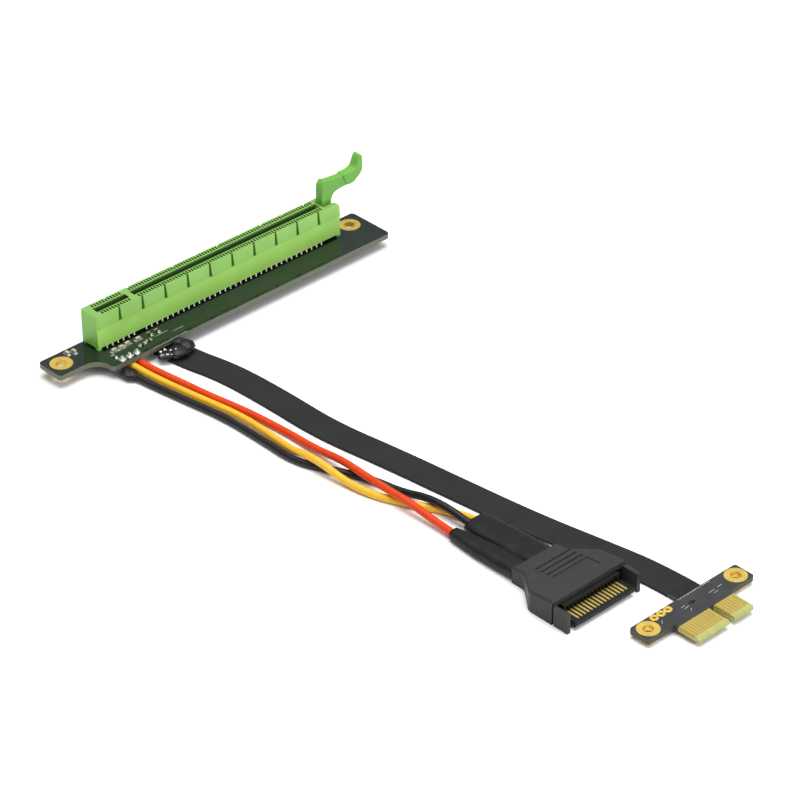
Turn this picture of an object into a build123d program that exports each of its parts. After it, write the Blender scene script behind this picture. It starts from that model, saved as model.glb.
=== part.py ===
from build123d import *
from math import atan, degrees, radians, tan
import os

# Frame: millimetres, X along the slot towards the latch, Y to the back, Z up.
# The origin lies midway between the long board's two mounting holes, on its underside.

# Long board
hole_spacing = 111.0
board_thickness = 1.6
board_left_margin = 4.6
board_right_margin = 5.6
board_front_margin = 12.0
ear_length = 9.3
ear_front_margin = 5.3
ear_fillet = 5.0
board_corner = 1.2
mounting_hole = 3.4
mounting_ring = 6.8
ground_gap = 3.0

# How far a cut runs past the face that it opens
past = 1.0

# Card groove, from the standard card edge
contact_pitch = 1.0
short_contacts = 11
long_contacts = 71
edge_margin = 0.325
key_notch = 1.9
key_play = 0.15
card_play = 0.1
card_groove_width = 1.85
card_groove_depth = 8.9
groove_lead_in = 0.35

# Slot housing
slot_offset_x = 2.8
slot_offset_y = 1.1
slot_height = 11.25
slot_standoff = 0.6
slot_band_width = 7.1
slot_panel_width = 7.5
slot_top_width = 6.9
slot_band_top = 6.8
panel_step = 0.15
left_end_wall = 2.2
latch_bay = 5.8
foot_size = 1.3

# Panels and the grooves between them, on both long sides
panel_groove_count = 10
panel_groove_top = 0.5
panel_groove_bottom = 1.2
panel_groove_depth = 0.5
panel_end_setback = 0.6

# Comb and contacts
rail_height = 1.4
rail_outer = 3.1
comb_width = 0.6
comb_outer = 5.9
comb_depth = 2.6
cell_contacts = 12
floor_width = 2.9
contact_width = 0.34
contact_thickness = 0.3
outer_tail = 2.65
inner_tail = 1.8
contact_rail_gap = 0.2

# Latch, placed from the slot's right end and the board's top
latch_thickness = 3.0
latch_hub_thickness = 3.6
latch_bay_width = 4.2
latch_bay_floor = 1.3
latch_bay_wall = 0.7
latch_axis_back = 2.9
latch_axis_height = 3.4
latch_hub_radius = 1.7
latch_pin_radius = 0.9
latch_pin_clearance = 0.05
latch_pin_reach = 3.1
latch_bore_reach = 3.2
cheek_corner = 1.6
latch_rounding = 0.45

# The lever above its hub, from the pivot in X and from the slot's top in Z
latch_lever = [
    (-1.7, -1.2), (-2.2, 0.2), (-2.2, 6.4), (-0.7, 7.9), (1.6, 7.5), (8.0, 7.1), (11.6, 7.9),
    (12.4, 10.4), (12.9, 11.3), (14.2, 11.3), (14.3, 6.0), (11.0, 3.3), (8.6, 2.9), (3.0, 2.5),
    (1.9, 0.8),
]

# Chip parts on the long board: X, Y and whether they lie across it
chip_length = 1.6
chip_width = 0.8
capacitor_height = 0.8
resistor_height = 0.45
capacitor_places = [
    (-51.2, 2.6, True), (-49.2, 2.0, True), (-40.6, -5.4, False), (-38.2, -5.6, False),
    (-35.6, -5.2, False), (-31.8, -5.4, False),
]
resistor_places = [
    (-42.4, -8.0, True), (-32.6, -8.4, False), (-30.0, -8.0, False), (-27.4, -5.6, True),
    (-24.8, -5.8, True),
]

# Power wires
wire_diameter = 2.2
wire_sides = 6
joint_sides = 8
power_wires = 3
wire_pitch = 2.7
first_wire_x = -41.6
wire_row_y = -10.4
power_joint_width = 1.9
power_joint_tip = 0.9
power_joint_height = 0.8
power_joint_taper = 30
wire_board_gap = 0.1

# Flat cable
cable_width = 9.5
cable_thickness = 0.9
joint_depth = 0.45
card_joint_depth = 0.2
joint_dots = 9
joint_dot = 0.62
joint_reach = 2.6
lead_x = 10.0
lead_joint_y = -8.6
glue_x = -25.5
glue_length = 9.0
glue_reach = 2.2

# Folded hank of the flat cable behind the slot
hank_left = -33.5
hank_right = 50.5
hank_front_gap = 1.8
hank_layers = 6
hank_thin_layers = 4
hank_slope_left = 15.5
hank_slope_right = 24.0
layer_pitch = 1.12
tie_width = 6.0
tie_thickness = 0.5
tie_x = -4.0

# Edge card
card_x = -6.6
card_back_y = -195.6
card_body_length = 40.0
card_body_width = 6.9
card_hole_spacing = 33.0
card_short_contacts = 11
card_long_contacts = 7
card_edge_length = 8.6
card_edge_chamfer = 0.4
card_notch_stop = 1.0
card_corner = 0.8
card_mounting_hole = 3.0
card_ring = 6.4
finger_width = 0.7
finger_length = 5.6
finger_setback = 1.6
finger_thickness = 0.05
header_holes = 3
header_sides = 8
header_edge_gap = 0.2
header_pitch = 2.54
header_hole = 1.0
header_ring = 2.1
header_x = -18.6
plating_wall = 0.1
plating_face = 0.06
ring_sides = 20

# Power plug
plug_x = -23.8
plug_rear_y = -158.5
plug_length = 20.0
plug_rear_width = 16.2
plug_front_width = 27.0
plug_rear_height = 5.0
plug_front_height = 7.4
plug_neck = 4.6
plug_shoulder = 7.0
plug_shoulder_radius = 3.0
plug_rounding = 0.6
plug_wall = 1.2
plug_floor = 0.8
plug_mouth_depth = 8.0
guide_reach = 5.6
guide_height = 5.5
guide_hook = 0.9
guide_gap = 0.6
tongue_width = 21.6
tongue_thickness = 1.9
tongue_reach = 6.0
tongue_chamfer = 0.4
insert_block = 3.0
insert_play = 0.1
head_width = 20.6
head_reach = 1.2
pocket_height = 1.2
pocket_sill = 0.35
pocket_depth = 1.6
blade_count = 15
blade_pitch = 1.27
blade_width = 0.84
blade_setback = 1.2
blade_thickness = 0.15
grip_grooves = 3
grip_groove_length = 13.0
grip_groove_width = 0.6
grip_groove_pitch = 2.1
grip_groove_start = 5.6
grip_groove_depth = 0.35
grip_shift = 1.5
recess_length = 5.2
recess_start = 11.4
recess_depth = 0.25

# Heat-shrink sleeves
sleeve_wall = 0.5
sleeve_length = 24.5
sleeve_slack = 0.1
sleeve_step = 0.8
sleeve_flat = 0.05
sleeve_grip = 0.03
single_sleeve_x = (-29.4, -29.1)
single_sleeve_width = (3.8, 5.6)
double_sleeve_x = (-21.6, -20.9)
double_sleeve_width = (6.8, 9.6)

# Derived places
ground = -ground_gap
board_top = board_thickness
short_edge = short_contacts * contact_pitch + 2 * edge_margin
long_edge = long_contacts * contact_pitch + 2 * edge_margin
card_groove_length = short_edge + key_notch + long_edge + 2 * card_play
slot_length = left_end_wall + card_groove_length + latch_bay
slot_left = slot_offset_x - slot_length / 2
slot_right = slot_offset_x + slot_length / 2
slot_back = slot_offset_y + slot_panel_width / 2
slot_bottom = board_top + slot_standoff
slot_top = board_top + slot_height
groove_left = slot_left + left_end_wall
groove_right = groove_left + card_groove_length
groove_floor = slot_top - card_groove_depth
key_center = groove_left + card_play + short_edge + key_notch / 2
latch_axis_x = slot_right - latch_axis_back
latch_axis_z = board_top + latch_axis_height
hank_front = slot_back + hank_front_gap
flat_cable_z = ground + cable_thickness / 2
wire_rest_z = ground + wire_diameter / 2
plug_front_y = plug_rear_y - plug_length
card_underside = ground + cable_thickness + card_joint_depth
card_front_y = card_back_y - card_body_width
card_hole_y = card_back_y - card_body_width / 2


def box(x0, x1, y0, y1, z0, z1):
    """A block between two corners."""
    block = Box(x1 - x0, y1 - y0, z1 - z0)
    return Pos((x0 + x1) / 2, (y0 + y1) / 2, (z0 + z1) / 2) * block


def rod(radius, x, y, z0, z1):
    """An upright cylinder."""
    return Pos(x, y, (z0 + z1) / 2) * Cylinder(radius, z1 - z0)


def post(across, sides, x, y, z0, z1):
    """An upright post with flat sides, as wide as the pad that it makes."""
    return Pos(x, y, z0) * extrude(RegularPolygon(across / 2, sides), z1 - z0)


def group(solids):
    """Separate solids of one kind, kept as one sub-part."""
    return Compound(children=[s for part in solids for s in part.solids()])


def contact_places():
    """The X of every contact in one row, short stretch first."""
    first = groove_left + card_play + edge_margin + contact_pitch / 2
    short = [first + i * contact_pitch for i in range(short_contacts)]
    second = first + short_edge + key_notch
    return short + [second + i * contact_pitch for i in range(long_contacts)]


def both_sides(near, far):
    """The Y span between two distances from the slot's middle, in front of it and behind it."""
    return (slot_offset_y - far, slot_offset_y - near), (slot_offset_y + near, slot_offset_y + far)


def tail_offset(index):
    """Tails stand in two staggered rows on each side."""
    return outer_tail if index % 2 == 0 else inner_tail


# Long board

def slot_board():
    """The outline steps in at the left ear, and the two ends carry plated mounting holes."""
    left = -hole_spacing / 2 - board_left_margin
    right = hole_spacing / 2 + board_right_margin
    body_left = left + board_left_margin + ear_length
    face = make_face(Polyline(
        (left, slot_back), (left, -ear_front_margin), (body_left, -ear_front_margin),
        (body_left, -board_front_margin), (right, -board_front_margin), (right, slot_back),
        close=True,
    ))
    inner = face.vertices().sort_by_distance((body_left, -ear_front_margin))[0]
    face = fillet(inner, ear_fillet)
    corners = [v for v in face.vertices() if v.X in (left, right) or v.Y == -board_front_margin]
    board = extrude(fillet(corners, board_corner), board_thickness)
    for x in (-hole_spacing / 2, hole_spacing / 2):
        board -= rod(mounting_hole / 2 + plating_wall, x, 0, -past, board_top + past)
    return board


def plated_hole(x, y, hole, ring, under, top):
    """A plated barrel with a thin ring on both faces of its board."""
    plating = post(hole + 2 * plating_wall, ring_sides, x, y, under, top)
    plating += post(ring, ring_sides, x, y, top, top + plating_face)
    plating += post(ring, ring_sides, x, y, under - plating_face, under)
    return plating - rod(hole / 2, x, y, under - past, top + past)


def slot_board_plating():
    return group(
        plated_hole(side * hole_spacing / 2, 0, mounting_hole, mounting_ring, 0, board_top)
        for side in (-1, 1)
    )


# Slot housing

def housing_body():
    """The moulded section with its lower band and leaning upper panels."""
    band = slot_band_width / 2
    panel = slot_panel_width / 2
    top = slot_top_width / 2
    step_z = board_top + slot_band_top
    side = [(band, slot_bottom), (band, step_z), (panel, step_z + panel_step), (top, slot_top)]
    section = side + [(-y, z) for y, z in reversed(side)]
    points = [(slot_left, slot_offset_y + y, z) for y, z in section]
    return extrude(make_face(Polyline(*points, close=True)), slot_length, dir=(1, 0, 0))


def panel_grooves():
    """Wedge grooves that part the panels, and the setback at the left end, on both sides."""
    step_z = board_top + slot_band_top
    pitch = slot_length / (panel_groove_count + 1)
    cuts = []
    for side in (-1, 1):
        y_in = slot_offset_y + side * (slot_top_width / 2 - panel_groove_depth)
        reach = slot_panel_width
        for i in range(panel_groove_count):
            x = slot_left + (i + 1) * pitch
            low = panel_groove_bottom / 2
            high = panel_groove_top / 2
            z_end = slot_top + past
            wedge = Polyline(
                (x - low, y_in, step_z), (x + low, y_in, step_z), (x + high, y_in, z_end),
                (x - high, y_in, z_end), close=True,
            )
            cuts.append(extrude(make_face(wedge), reach, dir=(0, side, 0)))
        y_band = slot_offset_y + side * slot_band_width / 2
        y_far = y_band + side * reach
        cuts.append(box(slot_left - past, slot_left + panel_end_setback, min(y_band, y_far),
                        max(y_band, y_far), step_z - past, slot_top + past))
    return cuts


def contact_runs():
    """The X of every contact, for the short stretch and for the long one."""
    places = contact_places()
    return places[:short_contacts], places[short_contacts:]


def comb():
    """Slots beside the rails, one for each contact's tip."""
    cuts = []
    for x in contact_places():
        for y0, y1 in both_sides(rail_outer / 2, comb_outer / 2):
            cuts.append(box(x - comb_width / 2, x + comb_width / 2, y0, y1,
                            slot_top - comb_depth, slot_top + past))
    return cuts


def chambers():
    """Cells under the comb, a few contacts each, with a rib left between two cells."""
    cuts = []
    for run in contact_runs():
        for start in range(0, len(run), cell_contacts):
            cell = run[start:start + cell_contacts]
            x0 = cell[0] - comb_width / 2
            x1 = cell[-1] + comb_width / 2
            half = comb_outer / 2
            cuts.append(box(x0, x1, slot_offset_y - half, slot_offset_y + half,
                            groove_floor, slot_top - comb_depth))
            under_rail = rail_outer / 2
            cuts.append(box(x0, x1, slot_offset_y - under_rail, slot_offset_y + under_rail,
                            slot_top - comb_depth, slot_top - rail_height))
            for y0, y1 in both_sides(floor_width / 2, half):
                cuts.append(box(x0, x1, y0, y1, slot_bottom - past, groove_floor))
    return cuts


def card_groove():
    """The groove for the card in two stretches beside the key, with a lead-in at its mouth."""
    key = (key_notch - key_play) / 2
    half = card_groove_width / 2
    cuts = []
    for x0, x1 in ((groove_left, key_center - key), (key_center + key, groove_right)):
        cuts.append(box(x0, x1, slot_offset_y - half, slot_offset_y + half, groove_floor, slot_top + past))
        mouth = make_face(Polyline(
            (x0, slot_offset_y - half - groove_lead_in, slot_top),
            (x0, slot_offset_y + half + groove_lead_in, slot_top),
            (x0, slot_offset_y, slot_top - half - groove_lead_in), close=True,
        ))
        cuts.append(extrude(mouth, x1 - x0, dir=(1, 0, 0)))
    return cuts


def latch_space():
    """The open bay between the cheeks, with a blind bore in each cheek."""
    half = latch_bay_width / 2
    bay = box(groove_right + latch_bay_wall, slot_right + past, slot_offset_y - half, slot_offset_y + half,
              board_top + latch_bay_floor, slot_top + past)
    bore = Cylinder(latch_pin_radius + latch_pin_clearance, 2 * latch_bore_reach)
    return [bay, Pos(latch_axis_x, slot_offset_y, latch_axis_z) * Rot(90, 0, 0) * bore]


def housing_feet():
    """A foot at each corner, which holds the housing off the board."""
    feet = []
    for x in (slot_left, slot_right - foot_size):
        for y0, y1 in both_sides(slot_band_width / 2 - foot_size, slot_band_width / 2):
            feet.append(box(x, x + foot_size, y0, y1, board_top, slot_bottom))
    return feet


def slot_housing():
    housing = housing_body() - panel_grooves()
    cheeks = housing.edges().filter_by(Axis.Y).group_by(Axis.X)[-1].group_by(Axis.Z)[-1]
    housing = fillet(cheeks, cheek_corner)
    housing -= latch_space() + card_groove() + chambers() + comb()
    return housing + housing_feet()


# Latch

def latch_outline():
    """The lever's side view: hub, post, hooked head and the finger that turns up."""
    left = latch_axis_x - latch_hub_radius
    right = latch_axis_x + latch_hub_radius
    upper = [(latch_axis_x + dx, slot_top + dz) for dx, dz in latch_lever]
    points = [(left, latch_axis_z)] + upper + [(right, latch_axis_z)]
    return [(x, slot_offset_y, z) for x, z in points]


def slot_latch():
    lever = make_face(Polyline(*latch_outline(), close=True))
    corners = lever.vertices().sort_by(Axis.Z)[2:]
    lever = extrude(fillet(corners, latch_rounding), latch_thickness / 2, dir=(0, 1, 0), both=True)
    axis = Pos(latch_axis_x, slot_offset_y, latch_axis_z) * Rot(90, 0, 0)
    lever += axis * Cylinder(latch_hub_radius, latch_hub_thickness)
    return lever + axis * Cylinder(latch_pin_radius, 2 * latch_pin_reach)


# Contacts

def contact(x, side, tail):
    """A spring blade, which leans in from its tail on the board to its tip under the rail."""
    half = contact_thickness / 2
    tip = card_groove_width / 2 + half
    tip_z = slot_top - rail_height - contact_rail_gap
    outline = [
        (tail + half, board_top), (tip + half, tip_z), (tip - half, tip_z), (tail - half, board_top),
    ]
    points = [(x - contact_width / 2, slot_offset_y + side * y, z) for y, z in outline]
    return extrude(make_face(Polyline(*points, close=True)), contact_width, dir=(1, 0, 0))


def contact_row(side):
    return group(contact(x, side, tail_offset(i)) for i, x in enumerate(contact_places()))


# Small parts on the long board

def chips(places, height):
    """Chip parts standing on the board, some of them turned across it."""
    parts = []
    for x, y, turned in places:
        dx = (chip_width if turned else chip_length) / 2
        dy = (chip_length if turned else chip_width) / 2
        parts.append(box(x - dx, x + dx, y - dy, y + dy, board_top, board_top + height))
    return group(parts)


def power_solder_joints():
    """A mound of solder over each wire on the board's top, and its conductor under the board."""
    half = power_joint_tip / 2
    joints = []
    for i in range(power_wires):
        x = first_wire_x + i * wire_pitch
        pad = Pos(x, wire_row_y, board_top) * RegularPolygon(power_joint_width / 2, joint_sides)
        joints.append(extrude(pad, power_joint_height, taper=power_joint_taper))
        joints.append(box(x - half, x + half, wire_row_y - half, wire_row_y + half,
                          -wire_board_gap - wire_diameter, 0))
    return group(joints)


# Flat cable

def corner_radii(points):
    """Each arc as large as its two runs allow: 0.45 of the shorter run over the half turn's tangent."""
    radii = []
    for a, b, c in zip(points, points[1:], points[2:]):
        into = Vector(*b) - Vector(*a)
        out = Vector(*c) - Vector(*b)
        half_turn = radians(into.get_angle(out) / 2)
        radii.append(0.45 * min(into.length, out.length) / tan(half_turn))
    return radii


def route(name, points):
    radii = corner_radii(points)
    print(name, "radii", [round(r, 1) for r in radii])
    return FilletPolyline(*points, radius=radii)


def flat_tube(name, points):
    """A flat cable swept level along its route."""
    path = route(name, points)
    plane = Plane(origin=path @ 0, z_dir=path % 0, x_dir=Vector(0, 0, 1).cross(path % 0))
    section = plane * Rectangle(cable_width, cable_thickness)
    tube = sweep(section, path)
    print(name, "volume over section times length", tube.volume / (section.area * path.length))
    return tube


cable_route = [
    (-24.5, hank_front, flat_cable_z),
    (-24.5, -4.5, flat_cable_z),
    (-23.9, -17.5, flat_cable_z),
    (-20.4, -32.0, flat_cable_z),
    (-19.5, -52.0, flat_cable_z),
    (-19.7, -73.0, flat_cable_z),
    (-16.0, -96.0, flat_cable_z),
    (-13.2, -119.0, flat_cable_z),
    (-10.0, -144.0, flat_cable_z),
    (-5.4, -167.0, flat_cable_z),
    (-2.6, -183.0, flat_cable_z),
    (-2.4, -200.0, flat_cable_z),
]

lead_route = [
    (lead_x, lead_joint_y, -cable_thickness / 2 - joint_depth),
    (lead_x, -6.2, -cable_thickness / 2 - joint_depth),
    (lead_x, -3.0, flat_cable_z),
    (lead_x, hank_front, flat_cable_z),
]


def flat_cable():
    return flat_tube("flat_cable", cable_route)


def flat_cable_lead():
    return flat_tube("flat_cable_lead", lead_route)


def hank_outline(inset):
    """The hank from the front: six layers deep at its left, four at its right."""
    top = ground + hank_layers * layer_pitch - inset
    thin_top = ground + hank_thin_layers * layer_pitch - inset
    left = hank_left + inset
    right = hank_right - inset
    low = ground + inset
    points = [
        (left, low), (right, low), (right, thin_top), (hank_slope_right, thin_top),
        (hank_slope_left, top), (left, top),
    ]
    return make_face(Polyline(*[(x, hank_front, z) for x, z in points], close=True))


def tie_band(inset):
    """The block of hank under the tie, drawn in by the tie's thickness where inset says so."""
    y0 = hank_front + inset
    y1 = hank_front + cable_width - inset
    return box(tie_x - tie_width / 2, tie_x + tie_width / 2, y0, y1, ground + inset,
               ground + hank_layers * layer_pitch - inset)


def flat_cable_hank():
    """The folded layers as one block, with a waist where the tie draws them in."""
    block = extrude(hank_outline(0), cable_width, dir=(0, 1, 0))
    corners = block.edges().filter_by(Axis.Y)
    ends = [e for e in corners if e.center().X in (hank_left, hank_right)]
    block = chamfer(ends, layer_pitch / 2)
    return block - (tie_band(0) - tie_band(tie_thickness))


def hank_tie():
    inner = tie_band(tie_thickness)
    return tie_band(0) - inner


def cable_joint(x, y_end, direction, under, depth):
    """A row of solder dots between the cable's conductors and the pads above them."""
    step = cable_width / joint_dots
    dots = []
    for i in range(joint_dots):
        dot_x = x - cable_width / 2 + (i + 0.5) * step
        y0, y1 = sorted((y_end, y_end + direction * joint_reach))
        dots.append(box(dot_x - joint_dot / 2, dot_x + joint_dot / 2, y0, y1, under - depth, under))
    return group(dots)


def slot_cable_joint():
    return cable_joint(lead_x, lead_joint_y, 1, 0, joint_depth)


def cable_glue():
    """The bead that holds the cable against the board's front edge."""
    y = -board_front_margin
    z0 = ground + cable_thickness
    bead = box(glue_x - glue_length / 2, glue_x + glue_length / 2, y - glue_reach, y + glue_reach, z0, 0)
    return chamfer(bead.edges().filter_by(Axis.Z), glue_reach / 2)


# Edge card

def card_edge_span():
    short = card_short_contacts * contact_pitch + 2 * edge_margin
    long = card_long_contacts * contact_pitch + 2 * edge_margin
    return short, short + key_notch + long


def edge_card():
    short, span = card_edge_span()
    left = card_x - span / 2
    tip = card_front_y - card_edge_length
    body = Pos(card_x, card_hole_y) * RectangleRounded(card_body_length, card_body_width, card_corner)
    tab = Pos(card_x, (card_front_y + past + tip) / 2) * Rectangle(span, card_edge_length + past)
    tip_corners = tab.vertices().group_by(Axis.Y)[0]
    tab = fillet(tip_corners, card_corner)
    notch_center = Pos(left + short + key_notch / 2, tip)
    notch = notch_center * SlotOverall(2 * (card_edge_length - card_notch_stop), key_notch, 90)
    card = Pos(0, 0, card_underside) * extrude(body + tab - notch, board_thickness)
    tips = [e for e in card.edges().filter_by(Axis.X) if abs(e.center().Y - tip) < 0.01]
    card = chamfer(tips, card_edge_chamfer)
    top = card_underside + board_thickness
    for side in (-1, 1):
        x = card_x + side * card_hole_spacing / 2
        card -= rod(card_mounting_hole / 2 + plating_wall, x, card_hole_y, card_underside - past, top + past)
    for x in header_places():
        barrel = header_hole + 2 * plating_wall
        card -= post(barrel, header_sides, x, header_y(), card_underside - past, top + past)
    return card


def header_places():
    return [header_x + i * header_pitch for i in range(header_holes)]


def header_y():
    return card_back_y - header_ring / 2 - header_edge_gap


def finger_places():
    short, span = card_edge_span()
    first = card_x - span / 2 + edge_margin + contact_pitch / 2
    second = first + short + key_notch
    places = [first + i * contact_pitch for i in range(card_short_contacts)]
    return places + [second + i * contact_pitch for i in range(card_long_contacts)]


def edge_fingers(z0):
    y1 = card_front_y - card_edge_length + finger_setback
    half = finger_width / 2
    return group(
        box(x - half, x + half, y1, y1 + finger_length, z0, z0 + finger_thickness)
        for x in finger_places()
    )


def edge_card_plating():
    top = card_underside + board_thickness
    return group(
        plated_hole(card_x + side * card_hole_spacing / 2, card_hole_y, card_mounting_hole, card_ring,
                    card_underside, top)
        for side in (-1, 1)
    )


def header_plating():
    """Eight-sided pads on both faces, joined through their holes."""
    top = card_underside + board_thickness
    y = header_y()
    pads = []
    for x in header_places():
        pad = post(header_hole + 2 * plating_wall, header_sides, x, y, card_underside, top)
        pad += post(header_ring, header_sides, x, y, top, top + plating_face)
        pad += post(header_ring, header_sides, x, y, card_underside - plating_face, card_underside)
        pads.append(pad - post(header_hole, header_sides, x, y, card_underside - past, top + past))
    return group(pads)


def card_cable_joint():
    return cable_joint(cable_route[-1][0], card_back_y, -1, card_underside, card_joint_depth)


# Power wires

wire_routes = {
    "wire_black": [
        (-41.6, -10.9, -1.2), (-41.7, -15.0, -1.5), (-40.8, -22.0, wire_rest_z),
        (-39.0, -34.0, wire_rest_z), (-36.6, -49.0, wire_rest_z), (-36.4, -65.0, wire_rest_z),
        (-36.8, -79.0, wire_rest_z), (-32.0, -89.5, wire_rest_z), (-27.4, -99.5, wire_rest_z),
        (-25.6, -110.0, wire_rest_z), (-24.6, -119.0, 0.45), (-23.9, -127.0, 0.45),
        (-23.4, -135.0, -1.2), (-23.2, -148.0, -0.6), (-22.9, -161.0, -0.5),
    ],
    "wire_yellow": [
        (-38.9, -10.9, -1.2), (-38.5, -16.0, -1.6), (-37.2, -25.0, wire_rest_z),
        (-35.2, -38.0, wire_rest_z), (-32.8, -52.0, wire_rest_z), (-33.2, -66.0, wire_rest_z),
        (-34.3, -75.0, -1.2), (-34.6, -81.5, 0.45), (-34.4, -88.0, 0.45),
        (-33.8, -96.0, -1.3), (-32.4, -105.0, wire_rest_z), (-28.4, -114.5, wire_rest_z),
        (-22.8, -124.5, wire_rest_z), (-19.9, -134.5, -1.4), (-19.7, -147.0, -0.8),
        (-19.1, -161.0, -0.5),
    ],
    "wire_orange": [
        (-36.2, -10.9, -1.2), (-36.2, -16.0, -1.2), (-34.0, -26.0, wire_rest_z),
        (-32.6, -38.0, wire_rest_z), (-30.2, -51.0, wire_rest_z), (-28.9, -66.0, wire_rest_z),
        (-29.0, -79.0, -1.5), (-29.3, -90.0, 0.45), (-29.7, -99.0, 0.45),
        (-29.9, -108.0, 0.5), (-29.6, -117.0, 0.4), (-29.3, -127.0, -1.0),
        (-29.5, -136.0, -1.2), (-29.3, -148.0, -0.7), (-28.7, -161.0, -0.5),
    ],
}


def wire(name, radius=wire_diameter / 2):
    path = route(name, wire_routes[name])
    section = Plane(origin=path @ 0, z_dir=path % 0) * RegularPolygon(radius, wire_sides)
    tube = sweep(section, path)
    print(name, "length", round(path.length, 1), "volume over section times length",
          tube.volume / (section.area * path.length))
    return tube


def sleeve(places, widths, wires):
    """A shrunk sleeve, round at the wires and flattened at the plug."""
    y_end = plug_rear_y + sleeve_length
    height_end = wire_diameter + 2 * sleeve_wall + sleeve_slack
    height_plug = plug_rear_height - sleeve_step
    rounding = height_end / 2 - sleeve_flat
    stations = [
        (places[0], y_end, ground + height_end / 2, widths[0], height_end),
        (sum(places) / 2, (y_end + plug_rear_y) / 2, ground + (height_end + plug_rear_height) / 4,
         sum(widths) / 2, (height_end + height_plug) / 2),
        (places[1], plug_rear_y, ground + plug_rear_height / 2, widths[1], height_plug),
    ]
    sections = [
        Plane(origin=(x, y, z), x_dir=(1, 0, 0), z_dir=(0, 1, 0)) * RectangleRounded(width, height, rounding)
        for x, y, z, width, height in stations
    ]
    tube = loft(sections, ruled=True)
    for name in wires:
        tube -= wire(name, wire_diameter / 2 + sleeve_grip)
    return tube


# Power plug

def plug_plan():
    """The plug seen from above: a narrow rear, curved shoulders and a wide front."""
    rear = plug_rear_width / 2
    front = plug_front_width / 2
    neck_y = plug_rear_y - plug_neck
    wide_y = neck_y - plug_shoulder
    points = [
        (plug_x - rear, plug_rear_y), (plug_x - rear, neck_y), (plug_x - front, wide_y),
        (plug_x - front, plug_front_y), (plug_x + front, plug_front_y), (plug_x + front, wide_y),
        (plug_x + rear, neck_y), (plug_x + rear, plug_rear_y),
    ]
    face = make_face(Polyline(*points, close=True))
    shoulders = [v for v in face.vertices() if plug_front_y + 1 < v.Y < plug_rear_y - 1]
    return fillet(shoulders, plug_shoulder_radius)


def plug_side():
    """The plug seen from the side: its top rises towards the front."""
    points = [
        (plug_x, plug_rear_y, ground), (plug_x, plug_rear_y, ground + plug_rear_height),
        (plug_x, plug_front_y, ground + plug_front_height), (plug_x, plug_front_y, ground),
    ]
    return make_face(Polyline(*points, close=True))


def mouth_floor():
    return ground + plug_floor


def lip_underside():
    rise = (plug_front_height - plug_rear_height) * (1 - plug_mouth_depth / plug_length)
    return ground + plug_rear_height + rise - plug_wall


def plug_guide(side):
    """A side rail that reaches past the lip, with a slit at its root and a small hook at its end."""
    x_out = plug_x + side * plug_front_width / 2
    x_in = x_out - side * plug_wall
    y0 = plug_front_y - guide_reach
    z0 = mouth_floor() - plug_floor / 2
    rail = box(min(x_in, x_out), max(x_in, x_out), y0, plug_front_y, z0, z0 + guide_height)
    hook = box(min(x_in, x_out), max(x_in, x_out), y0, y0 + guide_hook, ground, z0)
    x_slit = x_out - side * guide_gap
    x_past = x_out + side * past
    slit = box(min(x_slit, x_past), max(x_slit, x_past), plug_front_y - guide_gap, plug_front_y,
               z0 - past, z0 + guide_height + past)
    return rail + hook - slit


def top_height(y):
    """The height of the plug's sloping top."""
    rise = (plug_front_height - plug_rear_height) * (plug_rear_y - y) / plug_length
    return ground + plug_rear_height + rise


def top_marks():
    """Three grip grooves across the plug's top, and a shallow square recess in front of them."""
    slope = degrees(atan((plug_front_height - plug_rear_height) / plug_length))
    x = plug_x + grip_shift
    cuts = []
    for i in range(grip_grooves):
        y = plug_rear_y - grip_groove_start - i * grip_groove_pitch
        groove = Box(grip_groove_length, grip_groove_width, 2 * grip_groove_depth)
        cuts.append(Pos(x, y, top_height(y)) * Rot(-slope, 0, 0) * groove)
    y = plug_rear_y - recess_start - recess_length / 2
    recess = Box(grip_groove_length, recess_length, 2 * recess_depth)
    return cuts + [Pos(x, y, top_height(y)) * Rot(-slope, 0, 0) * recess]


def plug_housing():
    plan = Pos(0, 0, ground) * extrude(plug_plan(), plug_front_height)
    side = extrude(plug_side(), plug_front_width, dir=(1, 0, 0), both=True)
    shell = plan & side
    top_edges = shell.faces().sort_by(Axis.Z)[-1].edges()
    shell = chamfer(top_edges, plug_rounding)
    half = plug_front_width / 2 - plug_wall
    shell -= box(plug_x - half, plug_x + half, plug_front_y - past, plug_front_y + plug_mouth_depth,
                 mouth_floor(), lip_underside())
    shell -= top_marks()
    for guide_side in (-1, 1):
        shell += plug_guide(guide_side)
    for name in wire_routes:
        shell -= wire(name, wire_diameter / 2 + sleeve_grip)
    return shell


def blade_places():
    first = plug_x - (blade_count - 1) / 2 * blade_pitch
    return [first + i * blade_pitch for i in range(blade_count)]


def plug_insert():
    """The block in the mouth with its row of pockets, and the tongue that carries the blades."""
    half = plug_front_width / 2 - plug_wall - insert_play
    y_back = plug_front_y + plug_mouth_depth
    y_block = y_back - insert_block
    y_head = plug_front_y - head_reach
    top = lip_underside() - insert_play
    block = box(plug_x - half, plug_x + half, y_block, y_back, mouth_floor(), top)
    block += box(plug_x - head_width / 2, plug_x + head_width / 2, y_head, y_block, mouth_floor(), top)
    z = mouth_floor() + tongue_thickness + pocket_sill
    for x in blade_places():
        block -= box(x - blade_width / 2, x + blade_width / 2, y_head - past, y_head + pocket_depth,
                     z, z + pocket_height)
    tip = plug_front_y - tongue_reach
    tongue = box(plug_x - tongue_width / 2, plug_x + tongue_width / 2, tip, y_head, mouth_floor(),
                 mouth_floor() + tongue_thickness)
    nose = tongue.edges().filter_by(Axis.X).group_by(Axis.Y)[0]
    return block + chamfer(nose, tongue_chamfer)


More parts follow.
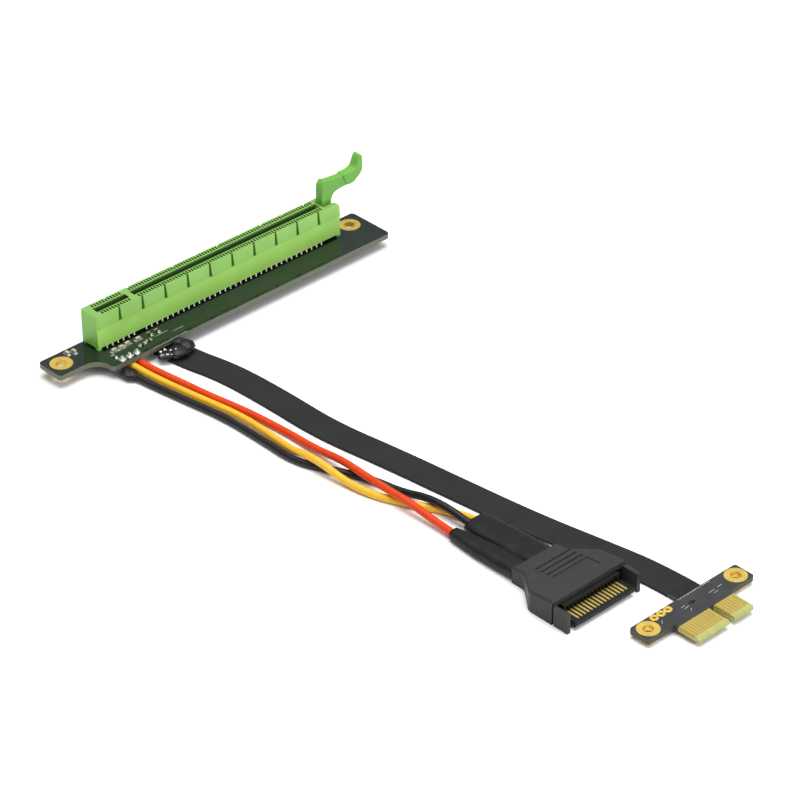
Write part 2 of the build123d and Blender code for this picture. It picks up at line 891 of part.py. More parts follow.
def plug_contacts():
    """Flat blades on the tongue, from near its tip to the face of the block behind it."""
    z = mouth_floor() + tongue_thickness
    y0 = plug_front_y - tongue_reach + blade_setback
    half = blade_width / 2
    return group(
        box(x - half, x + half, y0, plug_front_y - head_reach, z, z + blade_thickness)
        for x in blade_places()
    )


def build():
    card_top = card_underside + board_thickness
    return {
        "slot_board": slot_board(),
        "slot_board_plating": slot_board_plating(),
        "slot_housing": slot_housing(),
        "slot_latch": slot_latch(),
        "front_contacts": contact_row(-1),
        "back_contacts": contact_row(1),
        "chip_capacitors": chips(capacitor_places, capacitor_height),
        "chip_resistors": chips(resistor_places, resistor_height),
        "power_solder_joints": power_solder_joints(),
        "slot_cable_joint": slot_cable_joint(),
        "cable_glue": cable_glue(),
        "flat_cable_lead": flat_cable_lead(),
        "flat_cable_hank": flat_cable_hank(),
        "hank_tie": hank_tie(),
        "flat_cable": flat_cable(),
        "edge_card": edge_card(),
        "edge_fingers_top": edge_fingers(card_top),
        "edge_fingers_bottom": edge_fingers(card_underside - finger_thickness),
        "edge_card_plating": edge_card_plating(),
        "header_plating": header_plating(),
        "card_cable_joint": card_cable_joint(),
        "wire_black": wire("wire_black"),
        "wire_yellow": wire("wire_yellow"),
        "wire_orange": wire("wire_orange"),
        "single_wire_sleeve": sleeve(single_sleeve_x, single_sleeve_width, ["wire_orange"]),
        "double_wire_sleeve": sleeve(double_sleeve_x, double_sleeve_width, ["wire_black", "wire_yellow"]),
        "plug_housing": plug_housing(),
        "plug_insert": plug_insert(),
        "plug_contacts": plug_contacts(),
    }


os.makedirs("parts", exist_ok=True)
for node, shape in build().items():
    export_step(shape, f"parts/{node}.step")
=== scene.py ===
import bmesh
import bpy
from math import cos, exp, pi, radians, sin
from mathutils import Matrix, Vector, noise


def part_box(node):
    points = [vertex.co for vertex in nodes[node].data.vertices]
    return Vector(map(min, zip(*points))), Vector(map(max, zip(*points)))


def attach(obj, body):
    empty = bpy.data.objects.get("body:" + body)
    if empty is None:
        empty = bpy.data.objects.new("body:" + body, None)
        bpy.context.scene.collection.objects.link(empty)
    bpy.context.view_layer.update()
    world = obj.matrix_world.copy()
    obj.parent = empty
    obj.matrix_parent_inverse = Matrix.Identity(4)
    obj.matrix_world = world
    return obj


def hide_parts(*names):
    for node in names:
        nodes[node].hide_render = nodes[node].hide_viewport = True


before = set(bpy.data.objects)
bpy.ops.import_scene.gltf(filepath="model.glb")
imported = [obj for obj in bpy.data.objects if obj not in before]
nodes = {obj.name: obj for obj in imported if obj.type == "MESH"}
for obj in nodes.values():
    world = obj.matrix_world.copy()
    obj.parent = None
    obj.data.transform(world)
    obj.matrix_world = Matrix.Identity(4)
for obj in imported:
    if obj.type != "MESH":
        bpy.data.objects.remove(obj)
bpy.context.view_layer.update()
scene = bpy.context.scene


# Shared measures, in millimetres like all the shapes below. The long board's underside is at zero.

MM = 0.001
GROUND = -3.0
BOARD_TOP = 1.6
CARD_TOP = -0.3
CARD_BOTTOM = CARD_TOP - 1.6


def metres(points):
    """Points given in millimetres, as vectors in metres."""
    return [Vector(p) * MM for p in points]


def millimetres(box):
    """The two corners of a box given in metres."""
    return [corner / MM for corner in box]


slot_low, slot_high = millimetres(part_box("slot_housing"))
SLOT_Y = 1.1
SLOT_TOP = 12.85
SLOT_INSIDE = 3.05       # from the slot's middle plane out to its contact cells' wall
GROOVE_RIGHT = 43.7      # where the card groove ends, before the latch
PANEL_FOOT = 8.45        # the line between the leaning panels and the plain band below them


# Camera, at the photograph's angle

CAMERA_AZIMUTH = radians(-42.72)
CAMERA_ELEVATION = radians(33.65)
CAMERA_ROLL = radians(-0.63)
CAMERA_TARGET = Vector((1.15, -80.6, 1.6)) * MM
CAMERA_DISTANCE = 0.950
CAMERA_LENS = 152.9
CAMERA_SENSOR = 36


def aim_camera():
    """The camera that was fitted to the photograph."""
    a, e, r = CAMERA_AZIMUTH, CAMERA_ELEVATION, CAMERA_ROLL
    forward = Vector((-sin(a) * cos(e), cos(a) * cos(e), -sin(e)))
    right = Vector((cos(a), sin(a), 0))
    up = right.cross(forward)
    right, up = right * cos(r) + up * sin(r), up * cos(r) - right * sin(r)
    data = bpy.data.cameras.new("camera")
    data.lens = CAMERA_LENS
    data.sensor_width = CAMERA_SENSOR
    data.clip_start = 0.01
    camera = bpy.data.objects.new("camera", data)
    scene.collection.objects.link(camera)
    turn = Matrix((right, up, -forward)).transposed().to_4x4()
    camera.matrix_world = Matrix.Translation(CAMERA_TARGET - forward * CAMERA_DISTANCE) @ turn
    scene.camera = camera


# Shader building blocks

NOISE_LOW, NOISE_HIGH = 0.3, 0.7  # nearly all of a noise texture lies between these


def new_material(name):
    """A material with its node tree and its shader."""
    material = bpy.data.materials.new(name)
    material.use_nodes = True
    tree = material.node_tree
    return material, tree, tree.nodes["Principled BSDF"]


def place(tree, stretch=(1, 1, 1)):
    """Object coordinates in metres, stretched along the axes."""
    coordinates = tree.nodes.new("ShaderNodeTexCoord")
    mapping = tree.nodes.new("ShaderNodeMapping")
    mapping.inputs["Scale"].default_value = stretch
    tree.links.new(coordinates.outputs["Object"], mapping.inputs["Vector"])
    return mapping.outputs["Vector"]


def coordinate(tree, output, axis):
    """One axis of a texture coordinate."""
    coordinates = tree.nodes.new("ShaderNodeTexCoord")
    parts = tree.nodes.new("ShaderNodeSeparateXYZ")
    tree.links.new(coordinates.outputs[output], parts.inputs["Vector"])
    return parts.outputs[axis]


def calculate(tree, operation, *values):
    """The result of a math node on numbers and sockets."""
    node = tree.nodes.new("ShaderNodeMath")
    node.operation = operation
    for socket, value in zip(node.inputs, values):
        if isinstance(value, (int, float)):
            socket.default_value = value
        else:
            tree.links.new(value, socket)
    return node.outputs["Value"]


def within(tree, value, low, high):
    """1 where a value lies between two limits, and 0 elsewhere."""
    above = calculate(tree, "GREATER_THAN", value, low)
    return calculate(tree, "MULTIPLY", above, calculate(tree, "LESS_THAN", value, high))


def noise_of(tree, vector, scale, detail=4, roughness=0.55):
    texture = tree.nodes.new("ShaderNodeTexNoise")
    texture.inputs["Scale"].default_value = scale
    texture.inputs["Detail"].default_value = detail
    texture.inputs["Roughness"].default_value = roughness
    tree.links.new(vector, texture.inputs["Vector"])
    return texture.outputs["Fac"]


def ramp_of(tree, value, stops):
    """A colour ramp with (position, colour) stops."""
    ramp = tree.nodes.new("ShaderNodeValToRGB")
    elements = ramp.color_ramp.elements
    while len(elements) < len(stops):
        elements.new(0.5)
    for element, (position, colour) in zip(elements, stops):
        element.position = position
        element.color = (*colour, 1)
    tree.links.new(value, ramp.inputs["Fac"])
    return ramp.outputs["Color"]


def shade(colour, factor):
    """A colour made darker or lighter."""
    return tuple(min(1, c * factor) for c in colour)


def mottled(tree, value, colour, dark, light):
    """A colour that wanders with a noise, from a darker to a lighter shade of itself."""
    return ramp_of(tree, value, [(NOISE_LOW, shade(colour, dark)),
                                 (NOISE_HIGH, shade(colour, light))])


def span_of(tree, value, low, high):
    """A noise spread between two limits."""
    spread = tree.nodes.new("ShaderNodeMapRange")
    spread.inputs["From Min"].default_value = NOISE_LOW
    spread.inputs["From Max"].default_value = NOISE_HIGH
    spread.inputs["To Min"].default_value = low
    spread.inputs["To Max"].default_value = high
    tree.links.new(value, spread.inputs["Value"])
    return spread.outputs["Result"]


def blend_colours(tree, factor, first, second):
    """The first colour where the factor is 0, and the second where it is 1."""
    mix = tree.nodes.new("ShaderNodeMix")
    mix.data_type = "RGBA"
    tree.links.new(factor, mix.inputs["Factor"])
    for socket, value in ((mix.inputs["A"], first), (mix.inputs["B"], second)):
        if isinstance(value, tuple):
            socket.default_value = (*value, 1)
        else:
            tree.links.new(value, socket)
    return mix.outputs["Result"]


def bump_of(tree, shader, height, distance):
    """Fine relief on a shader, from a height and its depth in metres."""
    bump = tree.nodes.new("ShaderNodeBump")
    bump.inputs["Distance"].default_value = distance
    tree.links.new(height, bump.inputs["Height"])
    tree.links.new(bump.outputs["Normal"], shader.inputs["Normal"])


# Materials

def moulded(name, colour, vary=0.08, scale=250, rough=(0.4, 0.55), grain=2600, depth=0.00002,
            metal=0.0, specular=0.5):
    """Plastic, metal or solder: a slightly uneven colour and gloss over a fine grain."""
    material, tree, shader = new_material(name)
    vector = place(tree)
    cloud = noise_of(tree, vector, scale)
    tone = mottled(tree, cloud, colour, 1 - vary, 1 + vary)
    tree.links.new(tone, shader.inputs["Base Color"])
    patch = noise_of(tree, vector, scale * 2.3, detail=3)
    tree.links.new(span_of(tree, patch, *rough), shader.inputs["Roughness"])
    bump_of(tree, shader, noise_of(tree, vector, grain, detail=3), depth)
    shader.inputs["Metallic"].default_value = metal
    shader.inputs["Specular IOR Level"].default_value = specular
    return material


CUT_EDGE = 0.6            # a face with less of its normal along Z than this is a cut edge
CUT_EDGE_ROUGHER = 0.45
MASK_END_Y = -203.9       # the edge card's solder mask stops here
SHADE_RIGHT = 47.5        # the housing's shade on the long board ends here
SHADE_DULLER = 0.47       # what the shade takes from the specular level


def bare_laminate(tree, colour, side, top, rim):
    """A board's colour, with bare laminate past the mask's end, paler at its rim."""
    back = coordinate(tree, "Object", "Y")
    past_mask = calculate(tree, "LESS_THAN", back, MASK_END_Y * MM)
    past_fingers = calculate(tree, "LESS_THAN", back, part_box("edge_fingers_top")[0].y)
    at_rim = calculate(tree, "MAXIMUM", side, past_fingers)
    stripes = noise_of(tree, place(tree, (900, 60, 60)), 1)
    glass = blend_colours(tree, at_rim, mottled(tree, stripes, top, 0.85, 1.1),
                          mottled(tree, stripes, rim, 0.9, 1.1))
    return blend_colours(tree, past_mask, colour, glass)


def slot_shade(tree, front, back):
    """1 on the strip of board that the slot's housing keeps dark, and 0 elsewhere."""
    beside = within(tree, coordinate(tree, "Object", "Y"), front * MM, back * MM)
    along = within(tree, coordinate(tree, "Object", "X"), (slot_low.x + 1) * MM, SHADE_RIGHT * MM)
    return calculate(tree, "MULTIPLY", beside, along)


def board_material(name, mask, core, rough, bare=None, shaded=None):
    """Glossy solder mask on the two faces, and glass-fibre core at the cut edges.

    bare gives the colours of the laminate past the mask's end, on top and at the rim. shaded
    gives the strip, from one Y to another, that lies in the housing's shade.
    """
    material, tree, shader = new_material(name)
    vector = place(tree)
    cloud = noise_of(tree, vector, 160)
    layers = noise_of(tree, place(tree, (120, 120, 5200)), 1, detail=5, roughness=0.7)
    upward = calculate(tree, "ABSOLUTE", coordinate(tree, "Normal", "Z"))
    side = calculate(tree, "LESS_THAN", upward, CUT_EDGE)
    colour = blend_colours(tree, side, mottled(tree, cloud, mask, 0.86, 1.16),
                           mottled(tree, layers, core, 0.7, 1.25))
    if bare:
        colour = bare_laminate(tree, colour, side, *bare)
    if shaded:
        dim = slot_shade(tree, *shaded)
        loss = calculate(tree, "MULTIPLY", dim, SHADE_DULLER)
        specular = calculate(tree, "SUBTRACT", 0.5, loss)
        tree.links.new(specular, shader.inputs["Specular IOR Level"])
        colour = blend_colours(tree, dim, colour, shade(mask, 0.25))
    tree.links.new(colour, shader.inputs["Base Color"])
    gloss = span_of(tree, cloud, *rough)
    roughness = calculate(tree, "MULTIPLY_ADD", side, CUT_EDGE_ROUGHER, gloss)
    tree.links.new(roughness, shader.inputs["Roughness"])
    bump_of(tree, shader, noise_of(tree, vector, 420, detail=2), 0.00001)
    return material


def slot_material(name, panels, band, hollow, left_end_lit_tone):
    """Satin moulding of one green, with painted light and shade: the band below the panels, the
    faces that look up and the left end face each painted a tone of their own, and deep painted
    shade inside the card groove and the comb.
    """
    material, tree, shader = new_material(name)
    vector = place(tree)
    cloud = noise_of(tree, vector, 120)
    height = coordinate(tree, "Object", "Z")
    # Painted light and shade: the panels and the band below them are one green, painted in two
    # tones for how the light falls on each.
    above = calculate(tree, "GREATER_THAN", height, PANEL_FOOT * MM)
    skin = blend_colours(tree, above, mottled(tree, cloud, band, 0.93, 1.05),
                         mottled(tree, cloud, panels, 0.95, 1.05))
    # Painted shade on the faces that look straight up.
    faces_up = calculate(tree, "GREATER_THAN", coordinate(tree, "Normal", "Z"), 0.9)
    skin = blend_colours(tree, faces_up, skin, shade(panels, 0.72))
    # The left end face is painted a tone of its own, for the light that falls on it.
    faces_left = calculate(tree, "LESS_THAN", coordinate(tree, "Normal", "X"), -0.9)
    skin = blend_colours(tree, faces_left, skin, left_end_lit_tone)
    # Painted shade inside the card groove and the comb.
    sideways = calculate(tree, "SUBTRACT", coordinate(tree, "Object", "Y"), SLOT_Y * MM)
    off_middle = calculate(tree, "ABSOLUTE", sideways)
    inside = calculate(tree, "LESS_THAN", off_middle, SLOT_INSIDE * MM)
    below_top = within(tree, height, PANEL_FOOT * MM, (SLOT_TOP - 0.06) * MM)
    along = within(tree, coordinate(tree, "Object", "X"), (slot_low.x + 0.8) * MM,
                   GROOVE_RIGHT * MM)
    for limit in (below_top, along):
        inside = calculate(tree, "MULTIPLY", inside, limit)
    tree.links.new(blend_colours(tree, inside, skin, hollow), shader.inputs["Base Color"])
    patch = noise_of(tree, vector, 400, detail=3)
    tree.links.new(span_of(tree, patch, 0.34, 0.46), shader.inputs["Roughness"])
    bump_of(tree, shader, noise_of(tree, vector, 3200, detail=3), 0.000012)
    shader.inputs["Subsurface Weight"].default_value = 0.08
    shader.inputs["Subsurface Radius"].default_value = (0.001, 0.0014, 0.0006)
    shader.inputs["Specular IOR Level"].default_value = 0.4
    return material


board_mask = board_material("board_mask", (0.010, 0.019, 0.014), (0.12, 0.125, 0.085),
                            (0.04, 0.10), shaded=(-3.7, 5.6))
card_mask = board_material("card_mask", (0.034, 0.036, 0.037), (0.050, 0.060, 0.036),
                           (0.12, 0.22), bare=((0.42, 0.24, 0.035), (0.40, 0.41, 0.13)))
# slot_green: the housing's one green, painted in tones for the light on each face, with painted
# shade in its hollow.
slot_green = slot_material("slot_green", panels=(0.275, 0.560, 0.120), band=(0.385, 0.720, 0.143),
                           hollow=(0.040, 0.100, 0.018), left_end_lit_tone=(0.215, 0.530, 0.075))
# Painted shade: the dark green of the blocks in the housing's wedge grooves.
groove_shade_green = moulded("groove_shade_green", (0.060, 0.150, 0.026), vary=0.06, rough=(0.4, 0.5),
                       specular=0.2)
latch_green = moulded("latch_green", (0.140, 0.395, 0.052), vary=0.04, rough=(0.34, 0.46),
                      specular=0.35)
gold = moulded("gold_plating", (0.92, 0.66, 0.15), rough=(0.28, 0.40), depth=0.000002, metal=0.8)
finger_gold = moulded("finger_gold", (0.48, 0.405, 0.105), vary=0.05, rough=(0.34, 0.44),
                      depth=0.000002, metal=0.45)
blade_gold = moulded("blade_gold", (0.66, 0.50, 0.13), vary=0.05, rough=(0.30, 0.40),
                     depth=0.000002, metal=0.6)
contact_metal = moulded("contact_metal", (0.74, 0.62, 0.38), vary=0.12, rough=(0.2, 0.4),
                        metal=1.0)
solder = moulded("solder", (0.66, 0.66, 0.63), vary=0.14, scale=900, rough=(0.22, 0.42),
                 depth=0.00001, metal=0.9)
tinned = moulded("tinned_feet", (0.86, 0.86, 0.82), vary=0.05, scale=900, rough=(0.35, 0.5),
                 depth=0.00001, metal=0.3)
ceramic = moulded("chip_ceramic", (0.50, 0.42, 0.22), vary=0.16, scale=1200, rough=(0.3, 0.5))
chip_black = moulded("chip_black", (0.030, 0.030, 0.032), vary=0.3, scale=1200,
                     rough=(0.25, 0.5))
silk = moulded("silk_white", (0.50, 0.50, 0.48), vary=0.12, scale=1500, rough=(0.5, 0.7))
glue = moulded("dark_glue", (0.008, 0.008, 0.008), vary=0.4, scale=500, rough=(0.32, 0.52),
               grain=300, depth=0.00003, specular=0.3)
jacket = moulded("cable_charcoal", (0.0205, 0.0205, 0.0212), vary=0.12, scale=90,
                 rough=(0.50, 0.66), grain=1900, depth=0.00003, specular=0.13)
# Past the crease: a glossier jacket, its colour painted darker as shade where the ribbon turns
# down from the light.
jacket_end_shaded = moulded("cable_end_gloss_and_shade", (0.008, 0.008, 0.009), vary=0.15, scale=300,
                     rough=(0.16, 0.26), grain=300)
strap_black = moulded("tie_black", (0.018, 0.018, 0.018), vary=0.3, scale=900,
                      rough=(0.5, 0.7), depth=0.00008)
black_wire = moulded("wire_black", (0.008, 0.007, 0.009), vary=0.25, scale=400,
                     rough=(0.34, 0.46), specular=0.3)
yellow_wire = moulded("wire_yellow", (0.78, 0.43, 0.022), scale=400, rough=(0.34, 0.46),
                      specular=0.35)
orange_wire = moulded("wire_orange", (0.61, 0.050, 0.004), scale=400, rough=(0.36, 0.48),
                      specular=0.22)
sleeve_black = moulded("sleeve_black", (0.0105, 0.0120, 0.0110), vary=0.22, scale=300,
                       rough=(0.42, 0.6), grain=2200, depth=0.00004, specular=0.18)
plug_grey = moulded("plug_grey", (0.034, 0.034, 0.034), scale=200, rough=(0.42, 0.54),
                    grain=3400, specular=0.22)
insert_grey = moulded("insert_grey", (0.010, 0.010, 0.010), vary=0.12, scale=200,
                      rough=(0.42, 0.6), grain=3400, specular=0.2)
white_floor = moulded("floor_white", (0.93, 0.93, 0.93), vary=0.005, scale=3,
                      rough=(0.75, 0.85), depth=0.0)

# The CAD nodes that no finer mesh replaces
CAD_MATERIALS = {
    "slot_board": board_mask, "slot_board_plating": gold, "slot_housing": slot_green,
    "front_contacts": contact_metal, "back_contacts": contact_metal,
    "chip_capacitors": ceramic, "chip_resistors": chip_black, "slot_cable_joint": solder,
    "edge_card": card_mask, "edge_fingers_top": finger_gold, "edge_fingers_bottom": finger_gold,
    "edge_card_plating": gold, "card_cable_joint": solder,
    "plug_housing": plug_grey, "plug_insert": insert_grey,
}


def paint_cad_nodes():
    """Gives each CAD node that shows its material."""
    for name, material in CAD_MATERIALS.items():
        slots = nodes[name].data.materials
        slots.clear()
        slots.append(material)


# Mesh helpers

BOX_FACES = [(3, 2, 1, 0), (4, 5, 6, 7), (0, 1, 5, 4), (1, 2, 6, 5), (2, 3, 7, 6), (3, 0, 4, 7)]
BLUNT_ANGLE = radians(35)  # edges sharper than this are rounded by soften()


def mesh_piece(name, vertices, faces, material, body="riser", smooth=True):
    """A piece that rides on a body, its faces turned outward and its caps left flat."""
    mesh = bpy.data.meshes.new(name)
    mesh.from_pydata([tuple(v) for v in vertices], [], faces)
    mesh.validate()
    shape = bmesh.new()
    shape.from_mesh(mesh)
    bmesh.ops.recalc_face_normals(shape, faces=shape.faces)
    shape.to_mesh(mesh)
    shape.free()
    for polygon in mesh.polygons:
        polygon.use_smooth = smooth and len(polygon.vertices) < 5
    mesh.materials.append(material)
    piece = bpy.data.objects.new(name, mesh)
    scene.collection.objects.link(piece)
    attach(piece, body)
    return piece


def soften(piece, width):
    """Rounds a piece's edges."""
    bevel = piece.modifiers.new("bevel", "BEVEL")
    bevel.width = width * MM
    bevel.segments = 2
    bevel.limit_method = "ANGLE"
    bevel.angle_limit = BLUNT_ANGLE
    piece.modifiers.new("normals", "WEIGHTED_NORMAL")


def loft(sections, capped=True, wrapped=False):
    """Faces between rings of points, capped at both ends or wrapped on to the first ring."""
    vertices = [v for ring in sections for v in ring]
    n = len(sections[0])
    faces = []
    for i in range(len(sections) if wrapped else len(sections) - 1):
        here, there = i * n, (i + 1) % len(sections) * n
        for j in range(n):
            k = (j + 1) % n
            faces.append((here + j, here + k, there + k, there + j))
    if capped:
        faces.append(tuple(reversed(range(n))))
        faces.append(tuple(range(len(vertices) - n, len(vertices))))
    return vertices, faces


def joined(parts):
    """Several small shapes as one list of vertices and one of faces."""
    vertices, faces = [], []
    for part_vertices, part_faces in parts:
        base = len(vertices)
        vertices += part_vertices
        faces += [tuple(i + base for i in face) for face in part_faces]
    return vertices, faces


def block(x0, x1, y0, y1, z0, z1):
    """A small block."""
    corners = ((x0, y0), (x1, y0), (x1, y1), (x0, y1))
    return metres((x, y, z) for z in (z0, z1) for x, y in corners), BOX_FACES


PRINT_HALF = 0.02         # half of a printed line's thickness


def strip(x0, y0, x1, y1, width, z):
    """A thin printed line between two points on a board."""
    along = Vector((x1 - x0, y1 - y0)).normalized() * width / 2
    side = Vector((-along.y, along.x))
    start, end = Vector((x0, y0)) - along, Vector((x1, y1)) + along
    corners = (start + side, start - side, end - side, end + side)
    heights = (z - PRINT_HALF, z + PRINT_HALF)
    return metres((c.x, c.y, h) for h in heights for c in corners), BOX_FACES


HOLLOW = 1.7              # how hollow a mound's sides are
SMALLEST = 0.02           # the least radius of a mound's last ring


def dome(x, y, z, radius, height, tip=0.0, sides=20, rings=7, wobble=0.0, down=False):
    """A mound of solder: hollow-sided up to a blunt tip where it has one, and round if not."""
    sections = []
    for i in range(rings + 1):
        t = i / rings
        if tip:
            r, h = tip + (radius - tip) * (1 - t) ** HOLLOW, height * t
        else:
            r, h = radius * cos(t * pi / 2), height * sin(t * pi / 2)
        r = max(r, SMALLEST)
        ring = []
        for j in range(sides):
            a = 2 * pi * j / sides
            swell = 1 + wobble * noise.noise(Vector((x + cos(a), y + sin(a), h)))
            ring.append((x + r * swell * cos(a), y + r * swell * sin(a), z - h if down else z + h))
        sections.append(metres(ring))
    vertices, faces = loft(sections, capped=False)
    faces.append(tuple(range(rings * sides, (rings + 1) * sides)))
    return vertices, faces


BLOB_SIDES, BLOB_STATIONS = 36, 22
BLOB_END = 0.02           # where its first and last rings are, as a share of the half turn
BLOB_SPREAD = 1.6         # how far round it the noise is read
BROAD_LUMPS, FINE_LUMPS = 0.8, 2.1


def blob(x, y, z, rx, ry, rz, uneven, lowest):
    """A closed lump with an uneven skin, flat where it would go below its lowest level."""
    sections = []
    for i in range(BLOB_STATIONS + 1):
        polar = pi * (BLOB_END + (1 - 2 * BLOB_END) * i / BLOB_STATIONS)
        ring = []
        for j in range(BLOB_SIDES):
            a = 2 * pi * j / BLOB_SIDES
            out = Vector((cos(polar), sin(polar) * cos(a), sin(polar) * sin(a)))
            spot = Vector((x, y, z)) + out * BLOB_SPREAD
            lumps = noise.noise(spot * BROAD_LUMPS) + 0.5 * noise.noise(spot * FINE_LUMPS)
            swell = 1 + uneven * lumps
            ring.append((x + rx * out.x * swell, y + ry * out.y * swell,
                         max(z + rz * out.z * swell, lowest)))
        sections.append(metres(ring))
    return loft(sections)


PAD_SIDES = 24
PAD_ROUNDING = (0.05, 0.02)  # what its top edges lose, inward and downward


def ring_pad(x, y, inner, outer, low, high):
    """A plated ring with a rounded top."""
    inward, downward = PAD_ROUNDING
    profile = [(inner, low), (inner, high - downward), (inner + inward, high),
               (outer - inward, high), (outer, high - downward), (outer, low)]
    turns = [2 * pi * j / PAD_SIDES for j in range(PAD_SIDES)]
    sections = [metres((x + r * cos(a), y + r * sin(a), z) for a in turns) for r, z in profile]
    return loft(sections, capped=False, wrapped=True)


def on_ground(point):
    """A point kept from going below what the object stands on."""
    return Vector((point.x, point.y, max(point.z, GROUND)))


# Cords: the routes are those of the CAD source, as the control points of smooth splines

def spline_curve(name, points):
    """A smooth curve through open space, drawn in by its control points."""
    data = bpy.data.curves.new(name, "CURVE")
    data.dimensions = "3D"
    data.resolution_u = 10
    spline = data.splines.new("NURBS")
    spline.points.add(len(points) - 1)
    for point, place_of_it in zip(spline.points, metres(points)):
        point.co = (*place_of_it, 1)
    spline.order_u = 3
    spline.use_endpoint_u = True
    curve = bpy.data.objects.new(name, data)
    scene.collection.objects.link(curve)
    return curve


def line_of(curve):
    """The points that a curve with no bevel runs through."""
    mesh = bpy.data.meshes.new_from_object(curve)
    points = [v.co.copy() for v in mesh.vertices]
    bpy.data.meshes.remove(mesh)
    return points


WIRE_RADIUS = 1.1
WIRE_REST = -1.9          # the height of a wire's middle where it lies on the ground
WIRES = {
    "wire_black": (black_wire, [
        (-41.6, -10.9, -1.2), (-41.7, -15.0, -1.5), (-40.8, -22.0, WIRE_REST),
        (-39.0, -34.0, WIRE_REST), (-36.6, -49.0, WIRE_REST), (-36.4, -65.0, WIRE_REST),
        (-36.8, -79.0, WIRE_REST), (-32.0, -89.5, WIRE_REST), (-27.4, -99.5, WIRE_REST),
        (-25.6, -110.0, WIRE_REST), (-24.6, -119.0, 0.45), (-23.9, -127.0, 0.45),
        (-23.4, -135.0, -1.2), (-23.2, -148.0, -0.6), (-22.9, -161.0, -0.5),
    ]),
    "wire_yellow": (yellow_wire, [
        (-38.9, -10.9, -1.2), (-38.5, -16.0, -1.6), (-37.2, -25.0, WIRE_REST),
        (-35.2, -38.0, WIRE_REST), (-32.8, -52.0, WIRE_REST), (-33.2, -66.0, WIRE_REST),
        (-34.3, -75.0, -1.2), (-34.6, -81.5, 0.45), (-34.4, -88.0, 0.45), (-33.8, -96.0, -1.3),
        (-32.4, -105.0, WIRE_REST), (-28.4, -114.5, WIRE_REST), (-22.8, -124.5, WIRE_REST),
        (-19.9, -134.5, -1.4), (-19.7, -147.0, -0.8), (-19.1, -161.0, -0.5),
    ]),
    "wire_orange": (orange_wire, [
        (-36.2, -10.9, -1.2), (-36.2, -16.0, -1.2), (-34.0, -26.0, WIRE_REST),
        (-32.6, -38.0, WIRE_REST), (-30.2, -51.0, WIRE_REST), (-28.9, -66.0, WIRE_REST),
        (-29.0, -79.0, -1.5), (-29.3, -90.0, 0.45), (-29.7, -99.0, 0.45), (-29.9, -108.0, 0.5),
        (-29.6, -117.0, 0.4), (-29.3, -127.0, -1.0), (-29.5, -136.0, -1.2),
        (-29.3, -148.0, -0.7), (-28.7, -161.0, -0.5),
    ]),
}


def make_wires():
    """The three wires' jackets, each with the first point of its route."""
    made = []
    for name, (material, points) in WIRES.items():
        wire = spline_curve(name + "_jacket", points)
        wire.data.bevel_depth = WIRE_RADIUS * MM
        wire.data.bevel_resolution = 4
        wire.data.use_fill_caps = True
        wire.data.materials.append(material)
        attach(wire, "riser")
        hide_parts(name)
        made.append((wire, points[0]))
    return made


# Flat cable: one ribbon from its joint under the board, through the folded layers behind the
# slot, and on to the edge card

CABLE_HALF = 4.75
CABLE_HALF_THICKNESS = 0.45
CABLE_LOW = GROUND + CABLE_HALF_THICKNESS
LAYER = 1.12              # from one folded layer to the next
CREASE_Y = -189.6         # past this crease the cable's jacket is glossy, and painted darker as shade
CREASE_SPREAD = 0.9
CREASE_SWELL = 0.45
HANK_Y = 11.4
ENTRY_FOLD = (10.0, HANK_Y)
EXIT_FOLD = (-24.5, HANK_Y)
FOLD_REACH = 40           # how far a fold can turn the ribbon, in points of its line
FOLD_INSIDE = 60
RIBS = 8
RIB_VALLEY = 0.955        # the thickness between two ribs, as a share of that on a rib
RIBS_HALF = 0.965         # as a share of the ribbon's half width, like the next
EDGE_START = 0.985
EDGE_THICKNESS = 0.8


def level(number):
    """The height of a folded layer, counted from 1 at the ground."""
    return CABLE_LOW + (number - 1) * LAYER


def turn_back(x, inward, low, high):
    """A layer's end: out at one level and back at the next."""
    return [(x + inward, HANK_Y, level(low)), (x, HANK_Y, level(low)), (x, HANK_Y, level(high)),
            (x + inward, HANK_Y, level(high))]


